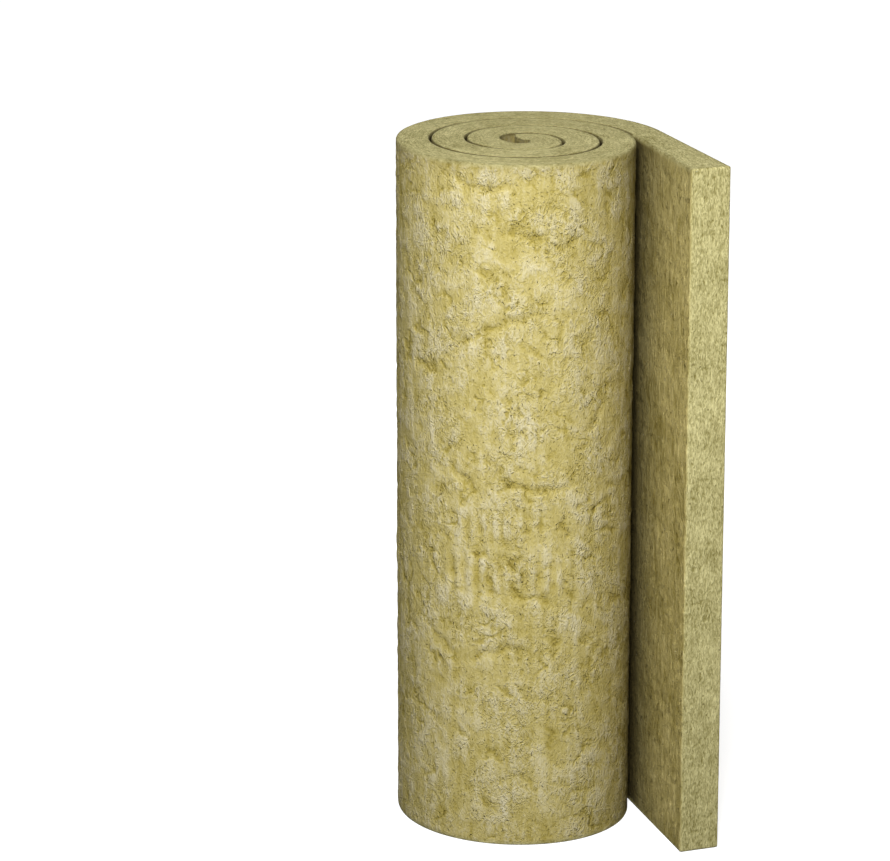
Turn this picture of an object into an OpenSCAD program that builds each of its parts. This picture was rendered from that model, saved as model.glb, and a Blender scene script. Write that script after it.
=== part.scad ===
// Roll of stone wool insulation: one mat, wound on itself and stood on end, with its
// outer end left free. The winding is drawn about two centres, so that each half turn
// is a true arc which runs on smoothly into the next one.

/* [Mat] */
// Width of the mat, which is the height of the standing roll
mat_width = 1000; // [600:10:1200]
// Thickness of the mat where the winding squeezes it
wound_thickness = 47; // [30:1:60]
// Thickness that the free end springs back to
free_thickness = 57; // [47:1:75]

/* [Winding] */
// Full turns under the free end
turns = 3; // [2:1:5]
// Radius of the tight bend at the inner end of the mat
core_radius = 5; // [3:1:30]
// Height of the rounded inner end of the mat
tip_height = 7; // [4:1:14]
// Open seam between one turn and the next
seam_gap = 3; // [1:0.5:6]
// Depth that the seam is open to, from each end of the roll
seam_depth = 30; // [10:1:60]

/* [Free end] */
// Length of the free end, from where it leaves the roll
tail_length = 245; // [200:5:400]

/* [Hidden] */
$fn = 180;

wool_colour = "#b9ad6c";
quarter_turn = 90;
half_turn = 180;

// One turn adds the mat and its seam to the radius, and a half turn adds half of that
pitch = wound_thickness + seam_gap;

// The winding axis is the centre of the left half turns. The right half turns have theirs
// half a pitch away on the Y axis, which is the line on which the two kinds meet.
left_centre = [0, 0];
right_centre = [0, -pitch / 2];

// Inner radius of the mat on each side, for the turn of that number, counted from the eye
function right_inner(turn) = core_radius + turn * pitch;
function left_inner(turn) = right_inner(turn) + pitch / 2;

left_radius = left_inner(turns - 1) + wound_thickness;
right_radius = right_inner(turns - 1) + wound_thickness;
lap_inner = right_inner(turns);
lap_outer = lap_inner + wound_thickness;
eye_radius = left_inner(0);

// The box round the roll and its free end, in plan, and its middle
tail_outer_x = right_centre.x + lap_outer;
tail_start_y = right_centre.y;
low_corner = [left_centre.x - left_radius, tail_start_y - max(tail_length, right_radius)];
high_corner = [tail_outer_x, left_centre.y + left_radius];
plan_middle = (low_corner + high_corner) / 2;

// Cuts run past the faces that they open by this much
overrun = 1;
// Flat that is left on each side of the rounded inner end
tip_shoulder = 1;

// Sector of a turned ring, from one angle and over another, standing on z = 0
module ring_sector(centre, inner, outer, start, sweep, height) {
    translate([centre.x, centre.y, 0])
        rotate([0, 0, start])
            rotate_extrude(angle = sweep)
                translate([inner, 0])
                    square([outer - inner, height]);
}

// Left half turn, from the back of the line of centres round to its front
module left_half(inner, outer, height) {
    ring_sector(left_centre, inner, outer, quarter_turn, half_turn, height);
}

// Right half turn, from the front of the line of centres round to its back
module right_half(inner, outer, height) {
    ring_sector(right_centre, inner, outer, -quarter_turn, half_turn, height);
}

// The wound turns as one turned body, a half turn on each side of the line of centres
module wound_body() {
    left_half(0, left_radius, mat_width);
    right_half(0, right_radius, mat_width);
}

// The outer lap, a quarter turn that stands off the turn below it by the seam
module outer_lap() {
    ring_sector(right_centre, lap_inner, lap_outer, 0, quarter_turn, mat_width);
}

// The free end, which leaves the roll at a tangent and thickens as it springs back
module free_end() {
    outer_start = [tail_outer_x, tail_start_y];
    outer_end = outer_start - [0, tail_length];
    linear_extrude(mat_width)
        polygon([
            outer_start,
            outer_start - [wound_thickness, 0],
            outer_end - [free_thickness, 0],
            outer_end
        ]);
}

// Rounded inner end of the mat, as a segment that stands off the line of centres
module inner_tip(height) {
    chord = wound_thickness - 2 * tip_shoulder;
    round_radius = (pow(chord / 2, 2) + pow(tip_height, 2)) / (2 * tip_height);
    tip_middle = core_radius + wound_thickness / 2;
    translate([right_centre.x + round_radius - tip_height, right_centre.y + tip_middle, 0])
        cylinder(r = round_radius, h = height);
}

// The eye at the centre of the roll, bounded by the first turn and the mat's inner end
module eye(height) {
    difference() {
        left_half(0, eye_radius, height);
        translate([0, 0, -overrun])
            inner_tip(height + 2 * overrun);
    }
    right_half(0, core_radius, height);
}

// The seam between the turns, as it shows on one end of the roll
module seam(depth) {
    for (turn = [1 : turns - 1]) {
        left_half(left_inner(turn) - seam_gap, left_inner(turn), depth);
        right_half(right_inner(turn) - seam_gap, right_inner(turn), depth);
    }
}

module wool_mat() {
    color(wool_colour)
        translate([-plan_middle.x, -plan_middle.y, 0])
            difference() {
                union() {
                    wound_body();
                    outer_lap();
                    free_end();
                }
                translate([0, 0, -overrun])
                    eye(mat_width + 2 * overrun);
                for (end_z = [-overrun, mat_width - seam_depth])
                    translate([0, 0, end_z])
                        seam(seam_depth + overrun);
            }
}

wool_mat();
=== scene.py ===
"""Looks of a roll of stone wool insulation that stands on end with its outer end left free.

The mat is drawn flat, as one long felt strip, and a node tree winds it up as the maker's
machine does. A second tree presses the felt's lumps and flakes into it, and a third lays
wisps of fibre on its faces.
"""

import logging
import math
from dataclasses import dataclass, field
from enum import Enum

import bmesh
import bpy
import numpy as np
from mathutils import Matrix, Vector


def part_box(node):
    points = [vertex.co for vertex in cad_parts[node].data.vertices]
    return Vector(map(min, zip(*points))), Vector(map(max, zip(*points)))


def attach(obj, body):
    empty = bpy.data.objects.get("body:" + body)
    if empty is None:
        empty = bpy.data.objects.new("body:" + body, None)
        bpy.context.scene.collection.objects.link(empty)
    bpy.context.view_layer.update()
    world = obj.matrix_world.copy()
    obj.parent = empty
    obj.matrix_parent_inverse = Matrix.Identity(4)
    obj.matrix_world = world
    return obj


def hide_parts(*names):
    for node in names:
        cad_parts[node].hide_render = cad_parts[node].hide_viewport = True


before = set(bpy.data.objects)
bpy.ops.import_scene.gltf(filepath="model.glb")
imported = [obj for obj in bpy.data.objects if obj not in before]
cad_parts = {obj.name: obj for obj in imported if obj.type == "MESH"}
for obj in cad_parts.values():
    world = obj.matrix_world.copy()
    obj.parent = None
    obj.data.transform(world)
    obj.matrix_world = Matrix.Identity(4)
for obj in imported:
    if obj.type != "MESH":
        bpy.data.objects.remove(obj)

LOG = logging.getLogger("insulation_roll")

MM = 0.001
BODY = "root"
NODE = "wool_mat"
SEED = 20
# The middle of a noise, and of the felt's depth
MIDDLE = 0.5
# Keeps the angle that ends a half turn from being counted to the half turn before
HAIR = 1e-5

Rgb = tuple[int, int, int]
Rgba = tuple[float, float, float, float]
Span = tuple[float, float]
Column = tuple[float, float, float]


class Felt(str, Enum):
    """Names of the values that the mat's points carry for its relief and its finish."""

    WIND = "wind_angle"
    RUN = "tail_run"
    DEPTH = "felt_depth"
    TIP = "tip_reach"
    ROLL = "rolled_face"
    FLAP = "flap_face"
    END = "cut_edge"
    ALONG = "felt_along"
    # Painted shade of the seams, the eye's walls, the rims and the nook where the free end leaves
    SEAM = "seam_wall"
    PRESS = "pressed_in"
    RELIEF = "felt_height"
    TONE = "wisp_tone"


class Pattern(Enum):
    """The patterns that the tone of the wool is mixed from."""

    CURLS = "curls"
    GRAIN = "grain"
    CREASES = "creases"
    MOTTLE = "mottle"
    PATCH = "patch"
    STREAK = "streak"
    HEIGHT = "height"


class Draw(Enum):
    """What is drawn at random for each wisp, as steps from the wisps' own seed."""

    TONE = 1
    YAW = 2
    FLIP = 3
    TILT = 4
    LENGTH = 5
    WIDTH = 6


def srgb(red: int, green: int, blue: int) -> Rgba:
    """Turns a colour as seen on a screen into the linear colour that a shader takes.

    Args:
        red: Red, from 0 to 255.
        green: Green, from 0 to 255.
        blue: Blue, from 0 to 255.

    Returns:
        The linear colour with an alpha of one.
    """
    channels = [value / 255 for value in (red, green, blue)]
    linear = [c / 12.92 if c <= 0.04045 else ((c + 0.055) / 1.055) ** 2.4 for c in channels]
    return (*linear, 1.0)


def bell(values: np.ndarray, middle: float, reach: float) -> np.ndarray:
    """Gives a smooth hump of height one.

    Args:
        values: Where the hump is read.
        middle: Where it is highest.
        reach: How far from there it has fallen to about a third.

    Returns:
        The hump's height at each value.
    """
    return np.exp(-(((values - middle) / reach) ** 2))


def risen(values: np.ndarray, low: float, high: float) -> np.ndarray:
    """Gives how far each value has risen from a low mark to a high one.

    Args:
        values: The values.
        low: Where the rise starts.
        high: Where it ends.

    Returns:
        The risen share, from zero to one.
    """
    return np.clip((values - low) / (high - low), 0, 1)


def stand(name: str, data: bpy.types.ID) -> bpy.types.Object:
    """Makes an object at the origin and links it to the scene.

    Args:
        name: The object's name.
        data: Its mesh, lamp or camera.

    Returns:
        The new object.
    """
    made = bpy.data.objects.new(name, data)
    bpy.context.scene.collection.objects.link(made)
    return made


@dataclass(frozen=True)
class Noise:
    """A soft noise, by its bumps in a metre and the finer layers of detail on top of them.

    Stir is how far the noise is stirred, and an upright share under one draws it out upwards.
    """

    scale: float
    detail: float = 2.0
    stir: float = 0.0
    upright: float = 1.0


@dataclass(frozen=True)
class Sway:
    """How a pattern is drawn out upwards and then shifted about by a slow noise."""

    noise: Noise
    reach: float
    upright: float = 1.0


@dataclass
class Field:
    """One output of a node tree under construction, which takes part in sums like a number."""

    tree: "TreeWriter"
    socket: bpy.types.NodeSocket

    def __add__(self, other: "Field | float") -> "Field":
        """Adds another field or a number."""
        return self.tree.math("ADD", self, other)

    def __sub__(self, other: "Field | float") -> "Field":
        """Takes another field or a number away."""
        return self.tree.math("SUBTRACT", self, other)

    def __rsub__(self, other: float) -> "Field":
        """Takes this field away from a number."""
        return self.tree.math("SUBTRACT", other, self)

    def __mul__(self, other: "Field | float") -> "Field":
        """Multiplies by another field or a number."""
        return self.tree.math("MULTIPLY", self, other)

    def __truediv__(self, other: "Field | float") -> "Field":
        """Divides by another field or a number."""
        return self.tree.math("DIVIDE", self, other)

    __radd__ = __add__
    __rmul__ = __mul__


class TreeWriter:
    """Writes the nodes of one tree, for geometry or for a material."""

    def __init__(self, tree: bpy.types.NodeTree) -> None:
        """Takes the tree to write in."""
        self.tree = tree

    def node(self, kind: str, **settings: object) -> bpy.types.Node:
        """Adds a node.

        Args:
            kind: The node's type.
            settings: Values for the node's own properties.

        Returns:
            The new node.
        """
        made = self.tree.nodes.new(kind)
        for name, value in settings.items():
            setattr(made, name, value)
        return made

    def plug(self, value: object, socket: bpy.types.NodeSocket) -> None:
        """Links a field to a socket, or sets a plain value on it.

        Args:
            value: The field or the plain value.
            socket: The socket that takes it.
        """
        if isinstance(value, Field):
            self.tree.links.new(value.socket, socket)
        else:
            socket.default_value = value

    def feed(self, node: bpy.types.Node, **values: object) -> None:
        """Links fields to a node's inputs, or sets plain values on them.

        Args:
            node: The node to feed.
            values: Inputs by name, with underscores for spaces.
        """
        for name, value in values.items():
            wanted = name.replace("_", " ")
            socket = next(s for s in node.inputs if s.name == wanted and s.enabled)
            self.plug(value, socket)

    def out(self, node: bpy.types.Node, name: str | int = 0) -> Field:
        """Gives one output of a node as a field."""
        return Field(self, node.outputs[name])

    def fed(self, kind: str, *inputs: object, **settings: object) -> Field:
        """Adds a node and feeds its inputs in order.

        Args:
            kind: The node's type.
            inputs: Fields or plain values, from the first input on.
            settings: Values for the node's own properties.

        Returns:
            The node's first output.
        """
        made = self.node(kind, **settings)
        for value, socket in zip(inputs, made.inputs):
            self.plug(value, socket)
        return self.out(made)

    def math(self, operation: str, first: "Field | float", second: "Field | float" = 0.0) -> Field:
        """Adds one step of arithmetic."""
        return self.fed("ShaderNodeMath", first, second, operation=operation)

    def vector_math(self, operation: str, first: Field, second: "Field | tuple") -> Field:
        """Adds one step of arithmetic with vectors."""
        return self.fed("ShaderNodeVectorMath", first, second, operation=operation)

    def vector(self, x: "Field | float", y: "Field | float", z: "Field | float") -> Field:
        """Joins three fields or numbers to a vector."""
        return self.fed("ShaderNodeCombineXYZ", x, y, z)

    def axes(self, place: Field) -> tuple[Field, Field, Field]:
        """Splits a vector into its three axes.

        Args:
            place: The vector.

        Returns:
            Its x, y and z.
        """
        made = self.node("ShaderNodeSeparateXYZ")
        self.plug(place, made.inputs[0])
        return self.out(made, 0), self.out(made, 1), self.out(made, 2)

    def scaled(self, vector: Field, by: Field) -> Field:
        """Scales a vector.

        Args:
            vector: The vector.
            by: What its length is multiplied by.

        Returns:
            The scaled vector.
        """
        made = self.node("ShaderNodeVectorMath", operation="SCALE")
        self.plug(vector, made.inputs[0])
        self.plug(by, made.inputs["Scale"])
        return self.out(made)

    def step(self, value: Field, low: float, high: float) -> Field:
        """Rises smoothly from zero to one.

        Args:
            value: The field to measure.
            low: Where the rise starts.
            high: Where it ends.

        Returns:
            The risen share, from zero to one.
        """
        made = self.node("ShaderNodeMapRange", interpolation_type="SMOOTHSTEP")
        self.feed(made, Value=value, From_Min=low, From_Max=high)
        return self.out(made)

    def bell(self, value: Field, middle: float, reach: float) -> Field:
        """Gives a smooth hump of height one.

        Args:
            value: Where the hump is read.
            middle: Where it is highest.
            reach: How far from there it has fallen to about a third.

        Returns:
            The hump's height.
        """
        off = (value - middle) / reach
        return self.math("EXPONENT", off * off * -1.0)

    def between(self, share: Field, low: "Field | float", high: "Field | float") -> Field:
        """Gives what lies between two fields or numbers, by a share from zero to one."""
        return (high - low) * share + low

    def upright(self, place: Field, share: float) -> Field:
        """Draws what is read at a place out upwards, by a share of its pace.

        Args:
            place: The place.
            share: The share, which leaves the place as it is where it is one.

        Returns:
            The place to read at.
        """
        if share == 1.0:
            return place
        return self.vector_math("MULTIPLY", place, (1.0, 1.0, share))

    def noise_node(self, place: Field, kind: Noise) -> bpy.types.Node:
        """Adds the node of a soft noise.

        Args:
            place: Where the noise is read.
            kind: The noise.

        Returns:
            The new node.
        """
        made = self.node("ShaderNodeTexNoise")
        read_at = self.upright(place, kind.upright)
        self.feed(made, Vector=read_at, Scale=kind.scale, Detail=kind.detail, Distortion=kind.stir)
        return made

    def noise(self, place: Field, kind: Noise) -> Field:
        """Adds a soft noise that runs from zero to one."""
        return self.out(self.noise_node(place, kind))

    def swing(self, place: Field, kind: Noise) -> Field:
        """Adds a soft noise that swings about zero."""
        return self.noise(place, kind) - MIDDLE

    def sway(self, place: Field, how: Sway) -> Field:
        """Shifts a place about by a slow noise, so that what is drawn there sways.

        Args:
            place: The place to shift.
            how: How it sways.

        Returns:
            The shifted place.
        """
        stirred = self.out(self.noise_node(place, how.noise), "Color")
        by = self.vector_math("MULTIPLY", stirred, (how.reach, how.reach, how.reach))
        return self.vector_math("ADD", self.upright(place, how.upright), by)


class GeometryTree(TreeWriter):
    """A Geometry Nodes tree with named inputs, which ends in a plain mesh."""

    def __init__(self, name: str) -> None:
        """Starts the tree with a mesh coming in and a mesh going out.

        Args:
            name: The tree's name.
        """
        super().__init__(bpy.data.node_groups.new(name, "GeometryNodeTree"))
        self.values: dict[str, object] = {}
        self._socket("Geometry", "INPUT", "NodeSocketGeometry")
        self._socket("Geometry", "OUTPUT", "NodeSocketGeometry")
        self.start = self.node("NodeGroupInput")
        self.end = self.node("NodeGroupOutput")
        self.mesh = self.out(self.start, "Geometry")

    def _socket(self, name: str, way: str, kind: str) -> bpy.types.NodeTreeInterfaceSocket:
        """Adds a socket to the tree's own interface."""
        return self.tree.interface.new_socket(name=name, in_out=way, socket_type=kind)

    def take(self, name: str, value: object, kind: str = "NodeSocketFloat") -> Field:
        """Adds a named input and notes the value that it gets on the modifier.

        Args:
            name: The input's name.
            value: Its value.
            kind: Its socket type.

        Returns:
            The input as a field.
        """
        made = self._socket(name, "INPUT", kind)
        self.values[made.identifier] = value
        return self.out(self.start, name)

    def place(self) -> Field:
        """Reads the place of each point."""
        return self.out(self.node("GeometryNodeInputPosition"))

    def named(self, name: Felt) -> Field:
        """Reads a value that the mesh's points carry.

        Args:
            name: The value's name.

        Returns:
            The value.
        """
        made = self.node("GeometryNodeInputNamedAttribute", data_type="FLOAT")
        self.feed(made, Name=name.value)
        return self.out(made, "Attribute")

    def store(self, name: Felt, value: Field) -> None:
        """Writes a value on the points of the geometry that is carried on.

        Args:
            name: The value's name.
            value: The value.
        """
        made = self.node("GeometryNodeStoreNamedAttribute", data_type="FLOAT", domain="POINT")
        self.feed(made, Geometry=self.mesh, Name=name.value, Value=value)
        self.mesh = self.out(made)

    def move(self, **how: Field) -> None:
        """Moves the points of the geometry that is carried on.

        Args:
            how: Their new position, or the offset that they are shifted by.
        """
        made = self.node("GeometryNodeSetPosition")
        self.feed(made, Geometry=self.mesh, **how)
        self.mesh = self.out(made)

    def random(self, low: float, high: float, seed: int) -> Field:
        """Draws a number for each point.

        Args:
            low: The lowest number.
            high: The highest number.
            seed: The draw's seed.

        Returns:
            The numbers.
        """
        made = self.node("FunctionNodeRandomValue", data_type="FLOAT")
        self.feed(made, Min=low, Max=high, Seed=seed)
        return Field(self, next(s for s in made.outputs if s.enabled))

    def finish(self, finish: bpy.types.Material) -> None:
        """Realizes what repeats, sets the material and closes the tree.

        Args:
            finish: The material of the result.
        """
        real = self.node("GeometryNodeRealizeInstances")
        self.feed(real, Geometry=self.mesh)
        dressed = self.node("GeometryNodeSetMaterial")
        self.feed(dressed, Geometry=self.out(real), Material=finish)
        self.plug(self.out(dressed), self.end.inputs["Geometry"])

    def apply(self, source: bpy.types.Object, name: str) -> bpy.types.Object:
        """Runs the tree on an object and keeps the result as a new plain mesh.

        Args:
            source: The object that the tree starts from.
            name: The name of the new object.

        Returns:
            The new object, at the origin and with no modifier.
        """
        modifier = source.modifiers.new(self.tree.name, "NODES")
        modifier.node_group = self.tree
        for identifier, value in self.values.items():
            modifier[identifier] = value
        graph = bpy.context.evaluated_depsgraph_get()
        made = bpy.data.meshes.new_from_object(source.evaluated_get(graph))
        source.modifiers.remove(modifier)
        made.name = name
        return stand(name, made)


class MaterialTree(TreeWriter):
    """The node tree of a new material."""

    def __init__(self, name: str) -> None:
        """Starts the material with no nodes.

        Args:
            name: The material's name.
        """
        self.material = bpy.data.materials.new(name)
        self.material.use_nodes = True
        self.material.node_tree.nodes.clear()
        super().__init__(self.material.node_tree)

    def place(self) -> Field:
        """Reads the place on the object itself."""
        return self.out(self.node("ShaderNodeTexCoord"), "Object")

    def carried(self, name: Felt) -> Field:
        """Reads a value that the mesh's points carry."""
        return self.out(self.node("ShaderNodeAttribute", attribute_name=name.value), "Fac")

    def ramp(self, tone: Field, stops: tuple[tuple[float, Rgb], ...]) -> Field:
        """Colours a tone.

        Args:
            tone: The tone, from zero to one.
            stops: Places on the ramp, with their colours.

        Returns:
            The colour.
        """
        made = self.node("ShaderNodeValToRGB")
        elements = made.color_ramp.elements
        while len(elements) < len(stops):
            elements.new(MIDDLE)
        for element, (place, colour) in zip(elements, stops):
            element.position = place
            element.color = srgb(*colour)
        self.feed(made, Fac=tone)
        return self.out(made, "Color")

    def blend(self, share: Field, first: Field, second: "Field | Rgba") -> Field:
        """Mixes two colours.

        Args:
            share: How much of the second colour is in the mix.
            first: The first colour.
            second: The second colour.

        Returns:
            The mixed colour.
        """
        made = self.node("ShaderNodeMix", data_type="RGBA")
        colours = [s for s in made.inputs if s.type == "RGBA"]
        self.plug(share, made.inputs[0])
        self.plug(first, colours[0])
        self.plug(second, colours[1])
        return Field(self, next(s for s in made.outputs if s.type == "RGBA"))

    def close(self, surface: Field) -> bpy.types.Material:
        """Ends the tree.

        Args:
            surface: The finished surface.

        Returns:
            The material.
        """
        end = self.node("ShaderNodeOutputMaterial")
        self.plug(surface, end.inputs["Surface"])
        return self.material


@dataclass(frozen=True)
class Plates:
    """The plates that the felt is matted into, with crumpled lines between them."""

    scale: float = 26.0
    detail: float = 4.0
    line: float = 0.07
    # The bends of the lines, and the patches that show lines at all, to a plate
    bends: float = 1.7
    bend_reach: float = 0.3
    patches: float = 0.9
    shown: Span = (0.47, 0.63)

    def lines(self, nodes: TreeWriter, place: Field) -> Field:
        """Draws the lines between the plates.

        Args:
            nodes: The tree that draws them.
            place: Where they are read.

        Returns:
            One on a line and zero beside it.
        """
        bent = nodes.sway(place, Sway(Noise(self.scale * self.bends), self.bend_reach / self.scale))
        fold = nodes.math("ABSOLUTE", nodes.swing(bent, Noise(self.scale, self.detail)))
        shown = nodes.step(nodes.noise(place, Noise(self.scale * self.patches)), *self.shown)
        return (1.0 - nodes.step(fold, 0.0, self.line)) * shown


PLATES = Plates()


@dataclass(frozen=True)
class WoolColours:
    """The colours of the wool, from its deepest hollows, partly painted shade, to its combed-up flakes.
    """

    hollow: Rgb = (136, 119, 46)
    olive: Rgb = (186, 169, 88)
    straw: Rgb = (210, 195, 126)
    cream: Rgb = (234, 224, 184)
    edge_dark: Rgb = (144, 134, 73)
    edge_pale: Rgb = (240, 231, 168)
    flap_dark: Rgb = (150, 135, 64)
    flap_pale: Rgb = (235, 220, 152)
    # Painted shade: the dark olive that seams, eye walls, rims and the nook are blended towards
    seam: Rgb = (80, 70, 36)
    shot: Rgb = (86, 74, 40)


HUES = WoolColours()


@dataclass(frozen=True)
class FaceTone:
    """The colours of one kind of face, and how much each pattern counts in their tone."""

    stops: tuple[tuple[float, Rgb], ...]
    level: float
    weights: dict[Pattern, float]

    def colour(self, nodes: MaterialTree, patterns: dict[Pattern, Field]) -> Field:
        """Colours the face.

        Args:
            nodes: The material's tree.
            patterns: The patterns, each about zero.

        Returns:
            The colour.
        """
        tone = nodes.carried(Felt.TONE) + self.level
        for pattern, weight in self.weights.items():
            tone = tone + patterns[pattern] * weight
        return nodes.ramp(tone, self.stops)


ROLLED_FACE = FaceTone(
    stops=((0.05, HUES.hollow), (0.36, HUES.olive), (0.6, HUES.straw), (0.95, HUES.cream)),
    level=0.61,
    # The tone rises with the relief and falls in crease lines, partly the wool's own tone and partly
    # painted shade in hollows and creases
    weights={
        Pattern.HEIGHT: 0.28, Pattern.MOTTLE: 0.22, Pattern.PATCH: 0.12, Pattern.CURLS: 0.4,
        Pattern.GRAIN: 0.42, Pattern.CREASES: -0.26, Pattern.STREAK: 0.55,
    },
)
FLAP_FACE = FaceTone(
    stops=((0.1, HUES.flap_dark), (0.9, HUES.flap_pale)),
    level=0.59,
    weights={Pattern.CURLS: 0.9, Pattern.GRAIN: 0.42, Pattern.MOTTLE: 0.7, Pattern.PATCH: 0.6},
)
CUT_EDGE = FaceTone(
    stops=((0.0, HUES.edge_dark), (1.0, HUES.edge_pale)),
    level=0.5,
    weights={Pattern.GRAIN: 2.9, Pattern.CURLS: 0.3, Pattern.MOTTLE: 0.6, Pattern.PATCH: 0.4},
)


@dataclass(frozen=True)
class WoolFinish:
    """The matt, felted finish of the wool."""

    name: str
    roughness: float = 0.95
    specular: float = 0.12
    mottle: Noise = Noise(24.0, 5.0, 0.6)
    patch: Noise = Noise(8.0, 2.0, 0.3)
    streak: Noise = Noise(90.0, 3.0, 0.3, upright=0.16)

    # Fine grain, and on the cut edges the ends of the fibres in their layers
    grain: Noise = Noise(420.0, 3.0, 0.6, upright=0.55)
    fibre_ends: Noise = Noise(504.0, 3.0, 0.8)
    fibre_drawn: float = 0.32
    layers: Noise = Noise(140.0, 3.0, 0.5)
    layer_drawn: float = 0.2
    layer_share: float = 0.25
    felt_depth: float = 50 * MM

    # Curled ridges, strong where the felt is crisp and weak where it is matted
    curl_sway: Sway = Sway(Noise(55.0, 1.0), 14 * MM, upright=0.6)
    curls: tuple[Noise, Noise] = (Noise(150.0), Noise(285.0))
    curl_sharpness: float = 4.0
    curl_mean: float = 0.6
    crisp: Noise = Noise(17.0, 3.0, 0.4)
    crisp_span: Span = (0.36, 0.64)
    curl_strength: Span = (0.5, 1.25)

    # Long combed streaks, which take the place of most curls on the flap
    comb_sway: Sway = Sway(Noise(17.0, 1.0), 28 * MM, upright=0.18)
    combed: Noise = Noise(150.0, 4.0, 0.6)
    comb_base: float = 0.25
    comb_strength: float = 1.2
    flap_curls: float = 0.25

    # Bump, where a span runs from the faces to the cut edges
    bump_reach: float = 3.0 * MM
    curl_bump: Span = (0.6, 0.06)
    grain_bump: Span = (0.37, 0.75)
    crease_bump: float = 0.26

    # Shot, the dark grains of melt that are left in the wool
    shot_scale: float = 85.0
    shot_chosen: Span = (0.72, 0.74)
    shot_size: Span = (0.05, 0.13)
    shot_strength: float = 0.7

    def build(self) -> bpy.types.Material:
        """Makes the material.

        Returns:
            The new material.
        """
        nodes = MaterialTree(self.name)
        place = nodes.place()
        curls = self._curls(nodes, place)
        grain = self._grain(nodes, place)
        creases = PLATES.lines(nodes, place)
        bump = nodes.node("ShaderNodeBump")
        nodes.feed(bump, Height=self._height(nodes, curls, grain, creases), Distance=self.bump_reach)
        shader = nodes.node("ShaderNodeBsdfPrincipled")
        shader.inputs["Roughness"].default_value = self.roughness
        shader.inputs["Specular IOR Level"].default_value = self.specular
        nodes.plug(self._colour(nodes, place, curls, grain, creases), shader.inputs["Base Color"])
        nodes.plug(nodes.out(bump), shader.inputs["Normal"])
        return nodes.close(nodes.out(shader))

    def _grain(self, nodes: MaterialTree, place: Field) -> Field:
        """Draws the fine grain, which follows the felt's layers where the mat is cut.

        Args:
            nodes: The material's tree.
            place: Where the pattern is read on the faces.

        Returns:
            The grain, from zero to one.
        """
        face = nodes.noise(place, self.grain)
        along = nodes.carried(Felt.ALONG)
        depth = nodes.carried(Felt.DEPTH) * self.felt_depth
        height = nodes.axes(place)[2]
        fibres, layers = (
            nodes.noise(nodes.vector(along * drawn, depth, height * drawn), kind)
            for kind, drawn in ((self.fibre_ends, self.fibre_drawn), (self.layers, self.layer_drawn))
        )
        cut = fibres * (1.0 - self.layer_share) + layers * self.layer_share
        return nodes.between(nodes.carried(Felt.END), face, cut)

    def _curls(self, nodes: MaterialTree, place: Field) -> Field:
        """Draws the curled ridges of felted fibre, and the long streaks on the flap.

        Args:
            nodes: The material's tree.
            place: Where the pattern is read.

        Returns:
            The ridges, from zero to one.
        """
        warped = nodes.sway(place, self.curl_sway)
        ridges = []
        for kind in self.curls:
            off_crest = nodes.math("ABSOLUTE", nodes.swing(warped, kind)) * self.curl_sharpness
            ridges.append(nodes.math("MAXIMUM", 1.0 - off_crest, 0.0))
        crisp = nodes.step(nodes.noise(place, self.crisp), *self.crisp_span)
        above_mean = (ridges[0] + ridges[1]) / len(ridges) - self.curl_mean
        felted = above_mean * nodes.between(crisp, *self.curl_strength) + self.curl_mean
        streaks = nodes.noise(nodes.sway(place, self.comb_sway), self.combed) - self.comb_base
        flap = nodes.carried(Felt.FLAP)
        return felted * nodes.between(flap, 1.0, self.flap_curls) + streaks * flap * self.comb_strength

    def _height(self, nodes: MaterialTree, curls: Field, grain: Field, creases: Field) -> Field:
        """Sums up the fine relief that is left to bump.

        Args:
            nodes: The material's tree.
            curls: The curled ridges.
            grain: The fine grain.
            creases: The lines between the felt's plates.

        Returns:
            The height, about zero to one.
        """
        edge = nodes.carried(Felt.END)
        folded = creases * nodes.carried(Felt.ROLL) * self.crease_bump
        curled = curls * nodes.between(edge, *self.curl_bump)
        return curled + grain * nodes.between(edge, *self.grain_bump) - folded

    def _colour(
        self, nodes: MaterialTree, place: Field, curls: Field, grain: Field, creases: Field
    ) -> Field:
        """Colours the felt by its height, its mottling and the kind of face, with painted shade.

        Args:
            nodes: The material's tree.
            place: Where the pattern is read.
            curls: The curled ridges.
            grain: The fine grain.
            creases: The lines between the felt's plates.

        Returns:
            The colour.
        """
        patterns = {
            Pattern.CURLS: curls - self.curl_mean,
            Pattern.GRAIN: grain - MIDDLE,
            Pattern.CREASES: creases,
            Pattern.MOTTLE: nodes.swing(place, self.mottle),
            Pattern.PATCH: nodes.swing(place, self.patch),
            Pattern.STREAK: nodes.swing(place, self.streak),
            Pattern.HEIGHT: nodes.carried(Felt.RELIEF) - MIDDLE,
        }
        wool = ROLLED_FACE.colour(nodes, patterns)
        for share, face in ((Felt.FLAP, FLAP_FACE), (Felt.END, CUT_EDGE)):
            wool = nodes.blend(nodes.carried(share), wool, face.colour(nodes, patterns))
        # Painted shade: the seams, the eye's walls, the rims and the nook darken towards a dark olive
        wool = nodes.blend(nodes.carried(Felt.SEAM), wool, srgb(*HUES.seam))
        return nodes.blend(self._shots(nodes, place), wool, srgb(*HUES.shot))

    def _shots(self, nodes: MaterialTree, place: Field) -> Field:
        """Scatters the grains of shot.

        Args:
            nodes: The material's tree.
            place: Where they are read.

        Returns:
            How much of the shot's colour shows.
        """
        dots = nodes.node("ShaderNodeTexVoronoi")
        nodes.feed(dots, Vector=place, Scale=self.shot_scale)
        chosen = nodes.step(nodes.axes(nodes.out(dots, "Color"))[0], *self.shot_chosen)
        off_dot = nodes.step(nodes.out(dots, "Distance"), *self.shot_size)
        return (1.0 - off_dot) * chosen * self.shot_strength


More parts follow.
